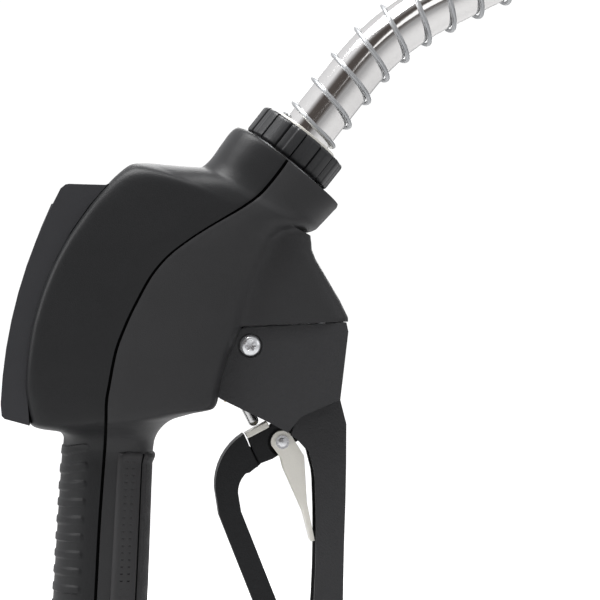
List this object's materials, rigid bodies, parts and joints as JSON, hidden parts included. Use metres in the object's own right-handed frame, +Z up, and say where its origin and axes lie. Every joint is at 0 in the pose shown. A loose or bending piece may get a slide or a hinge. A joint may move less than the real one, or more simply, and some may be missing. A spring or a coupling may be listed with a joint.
{
  "type": "fuel nozzle",
  "caption": "Automatic shut-off fuel nozzle with a bent metal spout, retaining spring, lever in a guard, and a threaded hose inlet in its grip.",
  "frame": {"origin": "centre of the hose inlet's mouth, at the lower end of the grip", "axes": "+Z up the grip along the hose inlet's axis; +X towards the spout's tip and the lever guard; Y across, and XZ is the plane in which the halves match"},
  "size_m": [0.2675, 0.064, 0.3815],
  "materials": {
    "cover_plastic": "smooth moulded plastic with a soft gloss",
    "grip_rubber": "soft insert with a dotted grain",
    "frame_plastic": "fine satin grain",
    "panel_sheet": "plain satin sheet",
    "casting": "as cast, slightly matt",
    "brass": "machined",
    "seal_rubber": "smooth black rubber",
    "white_plastic": "machined white plastic",
    "spring_wire": "drawn zinc-plated wire",
    "steel": "machined steel",
    "zinc_plate": "bright zinc plate",
    "nut_plastic": "moulded nylon",
    "spout_aluminium": "polished tube with fine scratches",
    "nickel_steel": "nickel-plated stamped steel",
    "lever_plastic": "coarse grained plastic",
    "guard_plastic": "coarse grained plastic"
  },
  "bodies": {
    "nozzle_body": {"body_casting": "casting", "rear_cover": "cover_plastic", "front_cover": "cover_plastic", "grip_pad": "grip_rubber", "panel_frame": "frame_plastic", "panel_face": "panel_sheet", "valve_cap": "brass", "cap_seal": "seal_rubber", "stem_packing": "white_plastic", "packing_nut": "brass", "poppet_spring": "spring_wire", "latch_ring": "steel", "diaphragm": "seal_rubber", "diaphragm_cap": "casting", "diaphragm_spring": "spring_wire", "diaphragm_screws": "zinc_plate", "spout_nut": "nut_plastic", "spout_adapter": "brass", "adapter_seal": "seal_rubber", "spout_tube": "spout_aluminium", "spout_ring": "nickel_steel", "spout_spring": "spring_wire", "spout_tip": "spout_aluminium", "vacuum_tube": "brass", "attitude_cage": "casting", "check_seat": "brass", "check_spring": "spring_wire", "lever_guard": "guard_plastic", "guard_rack": "steel", "guard_screws": "zinc_plate", "guard_end_screw": "zinc_plate"},
    "plunger_slide": {"plunger": "steel", "lever_pin": "steel"},
    "lever": {"lever_head": "lever_plastic", "lever_arm": "lever_plastic", "lever_saddle": "nickel_steel", "arm_pin": "steel", "clip_rivet": "zinc_plate", "clip_spring": "spring_wire"},
    "clip": {"hold_open_clip": "nickel_steel"},
    "main_valve": {"valve_stem": "steel", "main_poppet": "brass", "seat_disc": "seal_rubber"},
    "latch": {"latch_pin": "steel"},
    "ball_a": {"latch_ball_1": "steel"},
    "ball_b": {"latch_ball_2": "steel"},
    "ball_c": {"latch_ball_3": "steel"},
    "check_valve": {"check_poppet": "white_plastic"},
    "attitude": {"attitude_ball": "steel"}
  },
  "joints": [
    {"name": "plunger_drop", "type": "slide", "parent": "nozzle_body", "child": "plunger_slide", "axis": [0.225, 0, -0.9744], "range_m": [0, 0.0072], "stiffness_N_per_m": 600, "springref_m": -0.01},
    {"name": "lever_swing", "type": "hinge", "parent": "plunger_slide", "child": "lever", "pos_m": [0.078, 0, 0.1493], "axis": [0, 1, 0], "range_deg": [0, 20], "stiffness_Nm_per_rad": 1.2, "springref_deg": -14.32},
    {"name": "clip_swing", "type": "hinge", "parent": "lever", "child": "clip", "pos_m": [0.0695, 0, 0.1396], "axis": [0, 1, 0], "range_deg": [-12, 0], "stiffness_Nm_per_rad": 0.02, "springref_deg": 28.65},
    {"name": "valve_lift", "type": "slide", "parent": "nozzle_body", "child": "main_valve", "axis": [-0.5, 0, 0.866], "range_m": [0, 0.0073], "deforming": ["poppet_spring"]},
    {"name": "latch_lift", "type": "slide", "parent": "nozzle_body", "child": "latch", "axis": [-0.225, 0, 0.9744], "range_m": [0, 0.00245], "deforming": ["diaphragm_spring", "diaphragm"]},
    {"name": "ball_a_travel", "type": "slide", "parent": "plunger_slide", "child": "ball_a", "axis": [-0.9744, 0, -0.225], "range_m": [0, 0.00125]},
    {"name": "ball_b_travel", "type": "slide", "parent": "plunger_slide", "child": "ball_b", "axis": [0.4872, -0.866, 0.1125], "range_m": [0, 0.00125]},
    {"name": "ball_c_travel", "type": "slide", "parent": "plunger_slide", "child": "ball_c", "axis": [0.4872, 0.866, 0.1125], "range_m": [0, 0.00125]},
    {"name": "check_lift", "type": "slide", "parent": "nozzle_body", "child": "check_valve", "axis": [0.5764, 0, 0.8171], "range_m": [0, 0.0045], "stiffness_N_per_m": 150, "springref_m": -0.002, "deforming": ["check_spring"]},
    {"name": "attitude_roll", "type": "slide", "parent": "nozzle_body", "child": "attitude", "axis": [0.8695, 0, 0.4939], "range_m": [0, 0.0042]}
  ],
  "couplings": [
    {"joint": "valve_lift", "follows": "lever_swing", "m_per_rad": 0.020626},
    {"joint": "latch_lift", "follows": "plunger_drop", "ratio": 0.33333},
    {"joint": "ball_a_travel", "follows": "plunger_drop", "ratio": 0.16667},
    {"joint": "ball_b_travel", "follows": "plunger_drop", "ratio": 0.16667},
    {"joint": "ball_c_travel", "follows": "plunger_drop", "ratio": 0.16667}
  ]
}
